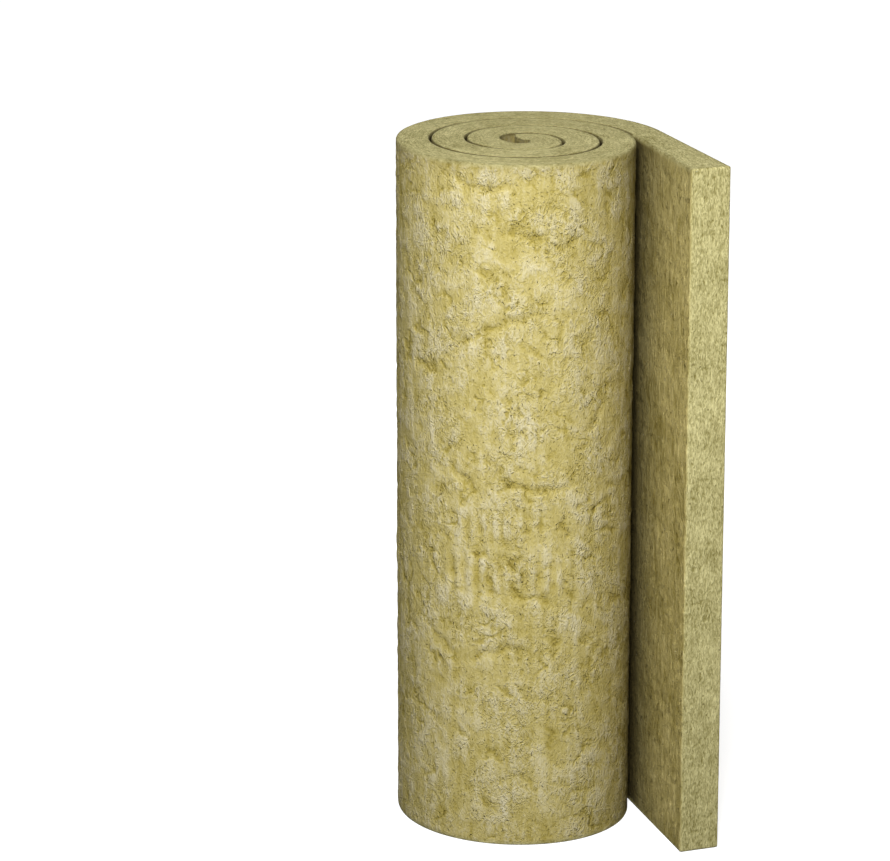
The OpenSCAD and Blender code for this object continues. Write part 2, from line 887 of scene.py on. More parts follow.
@dataclass(frozen=True)
class Winding:
    """How the mat is wound: half turns about two centres, then a straight free end."""

    height: float
    tail: float
    left: tuple[float, float]
    wound: float = 47 * MM
    free: float = 57 * MM
    flare: float = 2 * MM
    seam: float = 3 * MM
    core: float = 5 * MM
    turns: int = 3

    # The eye: its thinned inner end, where it is hollowed and closed by wound angle, and the
    # pinch in the turn beside it
    thinned: float = 4 * MM
    hollowed: float = 7 * MM
    hollowed_at: float = 3.5
    hollowed_sweep: float = 0.55
    closed: float = 3.8 * MM
    closed_at: float = 2.1
    closed_sweep: float = 0.7
    pinch: float = 5 * MM
    pinch_reach: float = 28 * MM

    @classmethod
    def from_box(cls, low: Vector, high: Vector) -> "Winding":
        """Places the winding in the box of the CAD solid.

        Args:
            low: The box's lowest corner.
            high: Its highest corner.

        Returns:
            The winding.
        """
        plain = cls(high.z - low.z, 0.0, (0.0, 0.0))
        radius = plain.outer_radius(2 * plain.turns - 1)
        left = (low.x + radius, high.y - radius)
        tail = left[1] - plain.pitch / 2 - low.y
        return cls(plain.height, tail, left)

    @property
    def pitch(self) -> float:
        """What one turn adds to the radius."""
        return self.wound + self.seam

    @property
    def last_angle(self) -> float:
        """The angle wound up to where the free end leaves."""
        return (2 * self.turns + 0.5) * math.pi

    @property
    def exposed_angle(self) -> float:
        """The angle from which no other turn covers the mat."""
        return self.last_angle - 2 * math.pi

    def inner_radius(self, half: "np.ndarray | int") -> "np.ndarray | float":
        """Gives the mat's inner radius in a half turn, counted from the eye."""
        return self.core + half * self.pitch / 2

    def outer_radius(self, half: "np.ndarray | int") -> "np.ndarray | float":
        """Gives the mat's outer radius in a half turn, counted from the eye."""
        return self.inner_radius(half) + self.wound

    def halves(self, angle: "np.ndarray | float") -> np.ndarray:
        """Gives the number of the half turn that a wound angle lies in."""
        return np.floor(np.asarray(angle) / math.pi + HAIR)

    def station(self, angle: "np.ndarray | float") -> np.ndarray:
        """Gives the place along the mat's outer face at a wound angle.

        Args:
            angle: The wound angle, or many of them.

        Returns:
            The distance from the mat's inner end.
        """
        half = self.halves(angle)
        arcs = [math.pi * self.outer_radius(h) for h in range(2 * self.turns + 1)]
        starts = np.cumsum([0.0, *arcs])
        return starts[half.astype(int)] + (angle - half * math.pi) * self.outer_radius(half)

    def angle_at(self, bearing: float) -> float:
        """Gives the wound angle at which the outermost turn faces a bearing.

        Args:
            bearing: Degrees round the roll, anticlockwise from +X.

        Returns:
            The wound angle.
        """
        ahead = (math.pi / 2 - math.radians(bearing) - self.exposed_angle) % (2 * math.pi)
        return self.exposed_angle + ahead

    def tree(self, name: str) -> GeometryTree:
        """Writes the node tree that winds the flat mat up.

        Args:
            name: The tree's name.

        Returns:
            The tree, with its mesh wound but not yet dressed.
        """
        made = GeometryTree(name)
        core = made.take("Core Radius", self.core)
        pitch = made.take("Pitch", self.pitch)
        wound = made.take("Wound Thickness", self.wound)
        spring = made.take("Spring Back", self.free - self.wound)
        flare = made.take("Flare", self.flare)
        thinned = made.take("Thinned Inner End", self.thinned)
        hollowed = made.take("Hollowed Eye", self.hollowed)
        closed = made.take("Closed Core", self.closed)
        pinch = made.take("Pinch", self.pinch)
        tail = made.take("Tail Length", self.tail)
        left_x = made.take("Left Centre X", self.left[0])
        left_y = made.take("Left Centre Y", self.left[1])
        wind = made.named(Felt.WIND)
        run = made.named(Felt.RUN)
        depth = made.named(Felt.DEPTH)
        half = made.math("FLOOR", wind / math.pi + HAIR)
        right_half = 1.0 - made.math("MODULO", half, 2.0)
        starting = 1.0 - made.step(wind, 0.0, math.pi / 2)
        facing = made.bell(wind, self.hollowed_at, self.hollowed_sweep)
        shut = made.bell(wind, self.closed_at, self.closed_sweep)
        eye = (1.0 - depth * 2.0) * starting * thinned
        eye = eye + (1.0 - depth) * (facing * hollowed - shut * closed)
        radius = core + half * pitch * 0.5 + depth * wound + eye
        angle = math.pi / 2 - wind
        sprung = depth * flare - (1.0 - depth) * spring
        x = left_x + radius * made.math("COSINE", angle) + made.named(Felt.TIP) + sprung * run / tail
        y = left_y - right_half * pitch * 0.5 + radius * made.math("SINE", angle) - run
        off_x = (x - left_x - core - wound) / self.pinch_reach
        off_y = (y - left_y + pitch * 0.5) / self.pinch_reach
        pinched = made.math("EXPONENT", (off_x * off_x + off_y * off_y) * -0.5) * pinch
        made.move(Position=made.vector(x - pinched, y, made.axes(made.place())[2]))
        return made


@dataclass(frozen=True)
class Crease:
    """A dent that packing has pressed into the rolled face."""

    bearing: float
    height: float
    length: float
    tilt: float = 0.0
    bow: float = 0.0
    depth: float = 3.2 * MM
    width: float = 4.2 * MM
    waver: float = 2.5 * MM
    waver_pace: float = 170.0
    window: float = 1.25

    def press(self, across: np.ndarray, up: np.ndarray) -> np.ndarray:
        """Gives how far the dent moves each point of the face.

        Args:
            across: Distance of each point to the right of the dent's middle.
            up: Distance above it.

        Returns:
            The movement along the face's normal, which is inwards.
        """
        turn = math.radians(self.tilt)
        along = across * math.cos(turn) + up * math.sin(turn)
        off = up * math.cos(turn) - across * math.sin(turn)
        share = 2 * along / self.length
        wavering = self.waver * np.sin(along * self.waver_pace + self.bearing)
        off = off - self.bow * (1 - share**2) - wavering
        return -self.depth * np.clip(self.window - share**2, 0, 1) * bell(off, 0.0, self.width)


@dataclass(frozen=True)
class Pleats:
    """A row of upright ridges that a strap has pressed into the rolled face."""

    bearing: float
    height: float
    span: float
    rise: float
    pitch: float = 18 * MM
    depth: float = 0.9 * MM
    lean: float = 0.05
    waver: float = 2 * MM
    waver_pace: tuple[float, float] = (60.0, 40.0)
    steepness: float = 2.0

    def press(self, across: np.ndarray, up: np.ndarray) -> np.ndarray:
        """Gives how far the ridges move each point of the face.

        Args:
            across: Distance of each point to the right of the row's middle.
            up: Distance above it.

        Returns:
            The movement along the face's normal.
        """
        window = np.exp(-((2 * across / self.span) ** 4) - (2 * up / self.rise) ** 4)
        pace_across, pace_up = self.waver_pace
        wavering = self.waver * np.sin(up * pace_up + across * pace_across)
        place = across + up * self.lean + wavering
        ridges = np.tanh(self.steepness * np.sin(place * 2 * math.pi / self.pitch))
        return self.depth * window * ridges


PRESSED = (
    Crease(-123.6, 0.745, 0.19, tilt=27, bow=0.02),
    Crease(-99.7, 0.54, 0.10, bow=-0.008),
    Crease(-87, 0.476, 0.07, tilt=97, bow=0.006),
    Crease(-138, 0.547, 0.06, tilt=-40),
    Crease(-130.6, 0.976, 0.11, tilt=-6, bow=-0.01),
    Crease(-110, 0.90, 0.07, tilt=-8),
    Crease(-88, 0.885, 0.05, tilt=20),
    Crease(-121, 0.285, 0.10, tilt=14, bow=0.008),
    Crease(-150, 0.30, 0.07, tilt=-35, depth=1.8 * MM),
    Crease(-112, 0.10, 0.06, bow=0.004, depth=1.4 * MM),
    Crease(-70, 0.63, 0.06, tilt=55),
    Crease(-160, 0.70, 0.05, tilt=10),
    Crease(130, 0.45, 0.16, tilt=-18, bow=0.015, depth=2.4 * MM),
    Crease(120, 0.72, 0.14, tilt=12, bow=-0.012),
    Crease(60, 0.38, 0.18, tilt=-25, bow=0.02),
    Crease(25, 0.66, 0.12, tilt=30),
    Crease(95, 0.15, 0.10, tilt=-10),
    Crease(-123, 0.362, 0.12, bow=-0.006, depth=-1.2 * MM, width=8 * MM),
    Crease(-124, 0.38, 0.03, depth=2.4 * MM),
    Crease(-112, 0.376, 0.025, tilt=-30, depth=2.4 * MM),
    Crease(-100, 0.37, 0.03, tilt=-25, depth=2.4 * MM),
    Pleats(-118, 0.405, 0.23, 0.06, depth=1.9 * MM),
    Pleats(-123, 0.475, 0.16, 0.045, depth=1.6 * MM),
    Pleats(-110, 0.66, 0.10, 0.05, depth=0.8 * MM),
    Pleats(-104, 0.29, 0.12, 0.06, depth=0.7 * MM),
    Pleats(80, 0.55, 0.20, 0.08),
    Pleats(150, 0.40, 0.22, 0.06),
)


@dataclass
class FeltMap:
    """What each point of the flat mat carries for the relief and the finish.

    Depths run from zero inside the mat's turns to one outside, and angles are wound angles.
    """

    winding: Winding
    rim: float
    angle: np.ndarray
    run: np.ndarray
    depth: np.ndarray
    tip: np.ndarray
    z: np.ndarray
    capped: np.ndarray

    # Where one kind of face gives way to the next, with the first two in rims from an end
    edge_span: Span = (0.6, 2.6)
    wall_from: float = 1.5
    bare_fade: float = 0.12
    flap_span: Span = (4 * MM, 16 * MM)
    roll_fade: float = 20 * MM

    # Painted shades of the seam's rims, which swing round the roll by bearing, pale at the front and
    # deepen at the innermost lap, with a strength of their own in the eye
    rim_shade: float = 0.9
    rim_fade: float = 0.3
    rim_shade_level: float = 0.88
    # How far the painted rim shade swings round the roll by bearing
    squeeze: float = 0.14
    palest_rim_bearing: float = math.radians(69)
    inner_lap: float = 0.25
    inner_lap_sweep: float = 0.6
    front_rim_paling: float = 0.4
    front_rim_paling_sweep: float = 0.8
    eye_rim_shade_level: float = 0.9

    # Shades of the upper rim of the open faces, and of the eye's walls where light falls in
    rim_line: float = 0.22
    rim_band: float = 0.42
    band_reach: float = 9 * MM
    side_slack: float = 1.01
    eye_shade: float = 0.64
    eye_light: float = 60 * MM
    eye_margin: float = 0.2

    # Shade of the nook where the free end leaves, which is paler and wider at the top
    nook_shade: float = 2.14
    nook_pale: float = 0.72
    nook_fade: float = 0.06
    nook_reach: float = 75 * MM
    nook_widening: float = 0.47
    nook_darkest: float = 0.97

    def __post_init__(self) -> None:
        """Works out which kinds of face each point belongs to."""
        wind = self.winding
        rim = self.rim
        inset = rim / wind.wound
        self.outer = self.depth > MIDDLE
        self.inner = self.depth < MIDDLE
        self.level = np.minimum(self.z, wind.height - self.z)
        self.under = wind.height - self.z
        self.along = wind.station(self.angle) + self.run
        self.edge = 1 - risen(self.level, self.edge_span[0] * rim, self.edge_span[1] * rim)
        self.cut = np.where(self.capped, 1.0, risen(self.run, wind.tail - rim, wind.tail))
        self.outside = risen(self.depth, 1 - inset, 1)
        self.inside = 1 - risen(self.depth, 0, inset)
        self.bare = risen(self.angle, wind.exposed_angle, wind.exposed_angle + self.bare_fade)
        self.flap = risen(self.run, *self.flap_span)
        self.open_side = np.maximum(np.where(self.outer, self.bare, self.flap), self.cut)
        self.hidden_rim = (1 - self.open_side) * (self.level <= rim * self.wall_from)
        on_face = np.abs(self.depth - MIDDLE) > MIDDLE - inset * self.side_slack
        self.open_face = self.open_side * (1 - self.cut) * on_face

    def values(self) -> dict[Felt, np.ndarray]:
        """Gives all that the points carry.

        Returns:
            The values by their names.
        """
        tail = self.winding.tail
        rolled = self.outside * self.bare * (1 - self.edge)
        return {
            Felt.WIND: self.angle,
            Felt.RUN: self.run,
            Felt.DEPTH: self.depth,
            Felt.TIP: self.tip,
            Felt.ROLL: rolled * (1 - risen(self.run, tail - self.roll_fade, tail)),
            Felt.FLAP: self.inside * self.flap,
            Felt.END: np.maximum.reduce([self.edge, self.cut, self.hidden_rim]),
            Felt.ALONG: self.along,
            Felt.PRESS: self._press(),
            Felt.SEAM: self._shade(),
        }

    def _shade(self) -> np.ndarray:
        """Gives how much painted shade each point takes for lying in the seam, in the eye, at a rim or in
        the nook.

        Returns:
            The shades.
        """
        walls = (1 - self.open_side) * (self.level > self.rim * self.wall_from)
        eye_wall = self.inner & (self.angle < 2 * math.pi + self.eye_margin)
        in_eye = eye_wall | (self.tip < 0) | (self.angle < self.eye_margin)
        walls *= np.where(in_eye & (self.level < self.eye_light), self.eye_shade, 1.0)
        rims = self.hidden_rim * self._rim_shade_strength() * self.rim_shade
        rims *= risen(self.level, 0, self.rim * self.rim_fade)
        line = self.open_face * (self.under == 0) * self.rim_line
        band = self.open_face * (self.level > 0) * self.rim_band * np.exp(-self.under / self.band_reach)
        nook = self._nook() * self.open_side * (1 - self.edge) * (1 - self.cut)
        return np.maximum.reduce([walls + rims, line, band, nook])

    def _rim_shade_strength(self) -> np.ndarray:
        """Gives how strong the painted shade of the seam's rims is beside each point.

        Returns:
            The strength, about one where the rims are shaded darkest.
        """
        shade_strength = self.rim_shade_level - self.squeeze * np.cos(math.pi / 2 - self.angle - self.palest_rim_bearing)
        lap = np.where(self.outer, self.angle, self.angle - 2 * math.pi)
        shade_strength += self.inner_lap * bell(lap, 0.0, self.inner_lap_sweep)
        shade_strength -= self.front_rim_paling * bell(lap, math.pi, self.front_rim_paling_sweep)
        return np.where(self.inner & (self.angle < math.pi), self.eye_rim_shade_level, shade_strength)

    def _nook(self) -> np.ndarray:
        """Gives how dark the nook is where the free end leaves the roll.

        Returns:
            The shades, which fall off along both of its faces.
        """
        wind = self.winding
        turned = (self.angle - wind.exposed_angle) * wind.outer_radius(wind.halves(self.angle))
        off = np.where(self.outer, turned + self.run, self.run)
        high = self.z / wind.height
        spread = self.nook_reach * (1 + self.nook_widening * high**3)
        dark = (self.nook_shade - self.nook_pale * high) * np.exp(-np.maximum(off, 0) / spread)
        return np.clip(dark - self.nook_fade, 0, self.nook_darkest)

    def _press(self) -> np.ndarray:
        """Gives how far packing has moved each point of the rolled face.

        Returns:
            The movements along the face's normal.
        """
        wind = self.winding
        press = np.zeros(len(self.z))
        for mark in PRESSED:
            middle = wind.station(wind.angle_at(mark.bearing))
            press += mark.press(middle - self.along, self.z - mark.height)
        return press * self.outside * self.bare * (self.run <= 0)


@dataclass
class FlatMat:
    """The mat laid out flat, as a closed strip of quads that the winding bends.

    Each column has its wound angle, its run along the tail and its inset at a rim.
    """

    winding: Winding
    pace: float = 5 * MM
    rim: float = 2.2 * MM
    widest_turn: float = math.radians(6)
    edge_steps: int = 12
    tip_height: float = 4.5 * MM
    tip_skew: float = 1.6
    # Wound angle by which the rows of an open face reach under the turn that covers it
    margin: float = 0.25
    # Rows of a hidden face, from each of its ends
    hidden_rows: tuple[float, ...] = (0.0, 3 * MM, 10 * MM, 40 * MM, 160 * MM)
    verts: list[tuple[float, float, float]] = field(default_factory=list)
    faces: list[tuple[int, ...]] = field(default_factory=list)
    carried: dict[Felt, list[float]] = field(default_factory=dict)

    def columns(self) -> list[Column]:
        """Lists the upright columns along the mat.

        Returns:
            The columns, from the inner end to the free one.
        """
        wind = self.winding
        made = []
        for half in range(2 * wind.turns + 1):
            sweep = min(math.pi, wind.last_angle - half * math.pi)
            reach = sweep * wind.outer_radius(half)
            count = math.ceil(max(reach / self.pace, sweep / self.widest_turn))
            made += [(half * math.pi + sweep * i / count, 0.0, 0.0) for i in range(count)]
        straight = wind.tail - self.rim
        count = math.ceil(straight / self.pace)
        made += [(wind.last_angle, straight * i / count, 0.0) for i in range(count + 1)]
        for turn in (math.pi / 4, math.pi / 2):
            run = wind.tail - self.rim * (1 - math.sin(turn))
            made.append((wind.last_angle, run, self.rim * (1 - math.cos(turn))))
        return made

    def rows(self, shown: bool) -> np.ndarray:
        """Lists the heights of a face's rows, few of them where the face is hidden.

        Args:
            shown: Whether the face is in the open.

        Returns:
            The heights, from low to high.
        """
        low, high = self.rim, self.winding.height - self.rim
        if shown:
            return np.linspace(low, high, round((high - low) / self.pace) + 1)
        steps = np.array(self.hidden_rows)
        return np.concatenate([low + steps, high - steps[::-1]])

    def point(self, column: Column, depth: float, z: float, tip: float = 0.0) -> int:
        """Adds a point and what it carries.

        Args:
            column: The column that it stands on.
            depth: Its depth in the felt, from zero inside to one outside.
            z: Its height.
            tip: How far it reaches past the mat's inner end.

        Returns:
            The point's number.
        """
        wind, run, inset = column
        squeeze = inset / self.winding.wound
        depth = squeeze + depth * (1 - 2 * squeeze)
        z = inset + z * (1 - 2 * inset / self.winding.height)
        self.verts.append((0.0, 0.0, z))
        for name, value in ((Felt.WIND, wind), (Felt.RUN, run), (Felt.DEPTH, depth), (Felt.TIP, tip)):
            self.carried.setdefault(name, []).append(value)
        return len(self.verts) - 1

    def edge(self, column: Column, top: bool) -> list[int]:
        """Adds the points of one cut edge, with its rounded rims.

        Args:
            column: The column that they stand on.
            top: Whether the edge is the upper one.

        Returns:
            The points' numbers, from outside to inside.
        """
        rim, height = self.rim, self.winding.height
        inset = rim / self.winding.wound
        corner = 1 - math.sqrt(0.5)
        level = height if top else 0.0
        near = height - rim * corner if top else rim * corner
        made = [self.point(column, 1 - inset * corner, near)]
        for i in range(self.edge_steps + 1):
            depth = 1 - inset - (1 - 2 * inset) * i / self.edge_steps
            made.append(self.point(column, depth, level))
        return [*made, self.point(column, inset * corner, near)]

    def zip_rows(self, first: list[int], second: list[int]) -> None:
        """Joins two rows of points with faces, also where one has more points than the other.

        Args:
            first: The points of one column.
            second: The points of the next one.
        """
        if len(first) == len(second):
            for i in range(len(first) - 1):
                self.faces.append((first[i], second[i], second[i + 1], first[i + 1]))
            return
        i = j = 0
        while i < len(first) - 1 or j < len(second) - 1:
            first_next = self.verts[first[i + 1]][2] if i < len(first) - 1 else math.inf
            second_next = self.verts[second[j + 1]][2] if j < len(second) - 1 else math.inf
            if first_next <= second_next:
                self.faces.append((first[i], second[j], first[i + 1]))
                i += 1
            else:
                self.faces.append((first[i], second[j], second[j + 1]))
                j += 1

    def cap(self, column: Column, loop: dict[str, list[int]], bulge: float) -> None:
        """Closes one end of the mat.

        Args:
            column: The last column.
            loop: That column's points, side by side.
            bulge: How far the end's middle reaches past the column.
        """
        rows = [loop["outer"]]
        for i in range(1, self.edge_steps + 2):
            depth = self.carried[Felt.DEPTH][loop["top"][i]]
            tip = -bulge * (1 - (2 * depth**self.tip_skew - 1) ** 2)
            row = [self.point((*column[:2], 0.0), depth, self.verts[n][2], tip) for n in loop["outer"]]
            if bulge:
                back = tip * (1 - self.rim / bulge)
                row.insert(0, self.point(column, depth, 0.0, back))
                row.append(self.point(column, depth, self.winding.height, back))
            rows.append(row)
        rows.append(loop["inner"])
        for first, second in zip(rows, rows[1:]):
            self.zip_rows(first, second)
        for side, end in (("top", -1), ("bottom", 0)):
            chain = [r[end] for r in rows]
            edge = [chain[0], *loop[side], chain[-1]]
            self.faces.append((edge[0], edge[1], edge[2], chain[1]))
            for i in range(1, len(chain) - 2):
                self.faces.append((chain[i], edge[i + 1], edge[i + 2], chain[i + 1]))
            self.faces.append((chain[-2], edge[-3], edge[-2], edge[-1]))

    def build(self) -> bpy.types.Object:
        """Makes the flat mat's mesh, with all that its points carry.

        Returns:
            The flat mat's object.
        """
        wind = self.winding
        columns = self.columns()
        loops = []
        for column in columns:
            bare = column[0] > wind.exposed_angle - self.margin
            flap = column[0] > wind.last_angle - self.margin
            loops.append({
                "outer": [self.point(column, 1.0, z) for z in self.rows(bare)],
                "inner": [self.point(column, 0.0, z) for z in self.rows(flap)],
                "top": self.edge(column, True),
                "bottom": self.edge(column, False),
            })
        for first, second in zip(loops, loops[1:]):
            for side in ("outer", "inner"):
                self.zip_rows(first[side], second[side])
            for side, end in (("top", -1), ("bottom", 0)):
                ring = [[loop["outer"][end], *loop[side], loop["inner"][end]] for loop in (first, second)]
                self.zip_rows(*ring)
        self.cap(columns[0], loops[0], self.tip_height)
        caps_from = len(self.verts)
        self.cap(columns[-1], loops[-1], 0.0)
        mesh = bpy.data.meshes.new("flat_mat")
        mesh.from_pydata(self.verts, [], self.faces)
        self.carry(mesh, caps_from)
        return stand("flat_mat", mesh)

    def carry(self, mesh: bpy.types.Mesh, caps_from: int) -> None:
        """Writes on the mesh what its points carry for the winding, the relief and the finish.

        Args:
            mesh: The flat mat's mesh.
            caps_from: Number of the first point on the cut end.
        """
        names = (Felt.WIND, Felt.RUN, Felt.DEPTH, Felt.TIP)
        drawn = [np.array(self.carried[name]) for name in names]
        z = np.array(self.verts)[:, 2]
        capped = np.arange(len(z)) >= caps_from
        for name, value in FeltMap(self.winding, self.rim, *drawn, z, capped).values().items():
            layer = mesh.attributes.new(name.value, "FLOAT", "POINT")
            layer.data.foreach_set("value", value.astype(np.float32))


@dataclass(frozen=True)
class FeltForm:
    """One kind of form in the felt, by its noise, its height and how it tints the wool.

    A form with a span rises from flat ground to a flat top. Its base is the level on its way
    from zero to one that lies in the mat's own face.
    """

    name: str
    noise: Noise
    height: float
    # The tint makes the wool paler where a form rises and darker where it sinks, partly the felt's own
    # tone and partly painted shade
    tint: float
    span: Span | None = None
    base: float = MIDDLE

    def draw(self, made: GeometryTree, place: Field) -> Field:
        """Draws the form.

        Args:
            made: The tree that draws it.
            place: Where it is read.

        Returns:
            The form, with a height of about one.
        """
        shape = made.noise(place, self.noise)
        if self.span:
            shape = made.step(shape, *self.span)
        return shape - self.base


FELT_FORMS = (
    FeltForm("Lump Height", Noise(14.0), 0.7 * MM, 0.5),
    FeltForm("Flake Height", Noise(34.0, 4.0, 0.8), 0.9 * MM, 0.55, span=(0.44, 0.58)),
    FeltForm("Pit Height", Noise(62.0, 3.0, 0.5), -1.0 * MM, -0.5, span=(0.58, 0.7), base=0.0),
    FeltForm("Ruck Height", Noise(90.0, 2.0, 0.3, upright=0.22), 1.0 * MM, 0.5),
)


@dataclass
class WoolMat:
    """The wound mat with the lumps and flakes of its felt."""

    winding: Winding
    finish: bpy.types.Material
    fold: float = 0.7 * MM
    ragged: float = 0.35 * MM
    ragged_noise: Noise = Noise(110.0, 3.0)
    # Painted shade in pressed dents and painted light on pleat ridges, by how far packing moved the face
    press_tint: float = 260.0
    # Heights between which the relief sets in, so that the mat stands flat on the floor
    foot: Span = (0.5 * MM, 6 * MM)

    def build(self) -> bpy.types.Object:
        """Winds the flat mat, presses the relief into it and turns its faces outwards.

        Returns:
            The finished piece.
        """
        flat = FlatMat(self.winding).build()
        winder = self.winding.tree("wind_the_mat")
        winder.finish(self.finish)
        wound = winder.apply(flat, "wound_mat")
        self._outwards(wound.data)
        piece = self._relief_tree().apply(wound, "wool_mat_felt")
        for scratch in (flat, wound):
            bpy.data.objects.remove(scratch)
        return piece

    def _outwards(self, mesh: bpy.types.Mesh) -> None:
        """Turns every face outwards and shades them smooth.

        Args:
            mesh: The wound mat's mesh.
        """
        work = bmesh.new()
        work.from_mesh(mesh)
        bmesh.ops.recalc_face_normals(work, faces=work.faces)
        work.to_mesh(mesh)
        work.free()
        mesh.shade_smooth()

    def _relief_tree(self) -> GeometryTree:
        """Writes the tree that presses lumps, flakes, pits and creases into the felt.

        Returns:
            The finished tree.
        """
        made = GeometryTree("felt_relief")
        place = made.place()
        press = made.named(Felt.PRESS)
        felt = 0.0
        # The tone follows the relief, darker in dents and pits and paler on lumps, flakes and rucks:
        # partly the felt's own tone, partly painted shade
        tint = press * self.press_tint + MIDDLE
        for form in FELT_FORMS:
            shape = form.draw(made, place)
            felt = shape * made.take(form.name, form.height) + felt
            tint = tint + shape * form.tint
        felt = felt - PLATES.lines(made, place) * made.take("Fold Depth", self.fold)
        face = made.math("MAXIMUM", made.named(Felt.ROLL), made.named(Felt.FLAP))
        frayed = made.swing(place, self.ragged_noise) * made.named(Felt.END)
        height = felt * face + press + frayed * made.take("Ragged Edge", self.ragged)
        height = height * made.step(made.axes(place)[2], *self.foot)
        normal = made.out(made.node("GeometryNodeInputNormal"))
        made.store(Felt.RELIEF, tint)
        made.move(Offset=made.scaled(normal, height))
        made.finish(self.finish)
        return made

    def dress(self, piece: bpy.types.Object) -> None:
        """Stands the piece in for the CAD solid.

        Args:
            piece: The finished piece.
        """
        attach(piece, BODY)
        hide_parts(NODE)


@dataclass(frozen=True)
class Wisps:
    """Wisps of combed-up fibre on one kind of face."""

    name: str
    ground: Felt
    density: float
    length: float
    width: float
    spread: float
    swirl: float
    bow: float = 0.12
    flat: float = 0.3
    lift: float = -0.1 * MM
    lowest: float = 9 * MM
    highest: float = 0.991
    seed: int = SEED
    ground_span: Span = (0.9, 0.98)
    swirls: Noise = Noise(18.0, 2.0, 0.5)
    tones: Span = (-0.08, 0.14)
    tilts: Span = (-0.05, 0.05)
    lengths: Span = (0.55, 1.35)
    widths: Span = (0.6, 1.3)

    def build(self, mat: bpy.types.Object, finish: bpy.types.Material) -> bpy.types.Object:
        """Lays the wisps on the mat.

        Args:
            mat: The finished mat.
            finish: The wisps' material.

        Returns:
            The finished piece.
        """
        made = GeometryTree(self.name)
        length = made.take("Wisp Length", self.length)
        width = made.take("Wisp Width", self.width)
        density = made.take("Density", self.density)
        lift = made.take("Lift", self.lift)
        seed = made.take("Seed", self.seed, "NodeSocketInt")
        wisp = self._wisp(made)
        place = made.place()
        points = made.node("GeometryNodeDistributePointsOnFaces")
        made.feed(points, Mesh=made.mesh, Density=density * self._ground(made, place), Seed=seed)
        made.mesh = made.out(points, "Points")
        made.store(Felt.TONE, self._drawn(made, Draw.TONE, self.tones))
        normal = made.out(points, "Normal")
        made.move(Offset=made.scaled(normal, lift))
        long = self._drawn(made, Draw.LENGTH, self.lengths) * length
        thick = self._drawn(made, Draw.WIDTH, self.widths) * width
        placed = made.node("GeometryNodeInstanceOnPoints")
        made.feed(placed, Points=made.mesh, Instance=wisp, Rotation=self._laid(made, place, normal),
                  Scale=made.vector(long, thick, thick * self.flat))
        made.mesh = made.out(placed)
        made.finish(finish)
        return made.apply(mat, self.name)

    def _drawn(self, made: GeometryTree, what: Draw, span: Span) -> Field:
        """Draws a number for each wisp."""
        return made.random(*span, self.seed + what.value)

    def _ground(self, made: GeometryTree, place: Field) -> Field:
        """Gives where the wisps lie.

        Args:
            made: The wisps' tree.
            place: The place of each point.

        Returns:
            One on the wisps' own kind of face and zero elsewhere.
        """
        up = made.axes(place)[2]
        ground = made.step(made.named(self.ground), *self.ground_span)
        above = made.math("GREATER_THAN", up, self.lowest)
        return ground * above * made.math("LESS_THAN", up, self.highest)

    def _laid(self, made: GeometryTree, place: Field, normal: Field) -> Field:
        """Lays each wisp flat on its face, upright but for its swirl.

        Args:
            made: The wisps' tree.
            place: The place of each wisp.
            normal: The face's normal there.

        Returns:
            The wisps' rotation.
        """
        stray = self._drawn(made, Draw.YAW, (-self.spread, self.spread))
        yaw = made.swing(place, self.swirls) * self.swirl + stray
        flip = made.math("ROUND", self._drawn(made, Draw.FLIP, (0.0, 1.0))) * math.pi
        tilt = self._drawn(made, Draw.TILT, self.tilts)
        spin = made.node("FunctionNodeEulerToRotation")
        made.feed(spin, Euler=made.vector(flip, tilt, yaw))
        outward = made.node("FunctionNodeAlignRotationToVector", axis="Z", pivot_axis="AUTO")
        made.feed(outward, Vector=normal)
        upright = made.node("FunctionNodeAlignRotationToVector", axis="X", pivot_axis="Z")
        made.feed(upright, Rotation=made.out(outward), Vector=(0.0, 0.0, 1.0))
        laid = made.node("FunctionNodeRotateRotation", rotation_space="LOCAL")
        made.feed(laid, Rotation=made.out(upright), Rotate_By=made.out(spin))
        return made.out(laid)

    def _wisp(self, made: GeometryTree) -> Field:
        """Makes one bowed spindle of unit length along X, with six triangles.

        Args:
            made: The wisps' tree.

        Returns:
            The spindle.
        """
        ball = made.node("GeometryNodeMeshUVSphere")
        made.feed(ball, Segments=3, Rings=2, Radius=0.5)
        laid = made.node("GeometryNodeTransform")
        made.feed(laid, Geometry=made.out(ball), Rotation=(0.0, math.pi / 2, 0.0))
        along = made.axes(made.place())[0]
        bent = made.node("GeometryNodeSetPosition")
        lean = (1.0 - along * along * 4.0) * (self.bow * self.length / self.width)
        made.feed(bent, Geometry=made.out(laid), Offset=made.vector(0.0, lean, 0.0))
        smooth = made.node("GeometryNodeSetShadeSmooth")
        made.feed(smooth, Geometry=made.out(bent))
        return made.out(smooth)

    def dress(self, piece: bpy.types.Object) -> None:
        """Makes the wisps move with the mat."""
        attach(piece, BODY)


WISPS = (
    Wisps("rolled_face_wisps", Felt.ROLL, density=21000, length=9 * MM, width=1.6 * MM,
          spread=0.7, swirl=5.0, flat=0.4, lift=-0.15 * MM),
    Wisps("rolled_face_crumbs", Felt.ROLL, density=21000, length=5 * MM, width=1.8 * MM,
          spread=1.5, swirl=5.0, flat=0.4, lift=-0.15 * MM, seed=SEED + 30),
    Wisps("flap_wisps", Felt.FLAP, density=36000, length=18 * MM, width=1.3 * MM,
          spread=0.45, swirl=2.5, bow=0.05, lowest=14 * MM, highest=0.986, seed=SEED + 10),
    Wisps("cut_edge_wisps", Felt.END, density=60000, length=4 * MM, width=1 * MM,
          spread=1.6, swirl=3.0, highest=2.0, seed=SEED + 20),
)


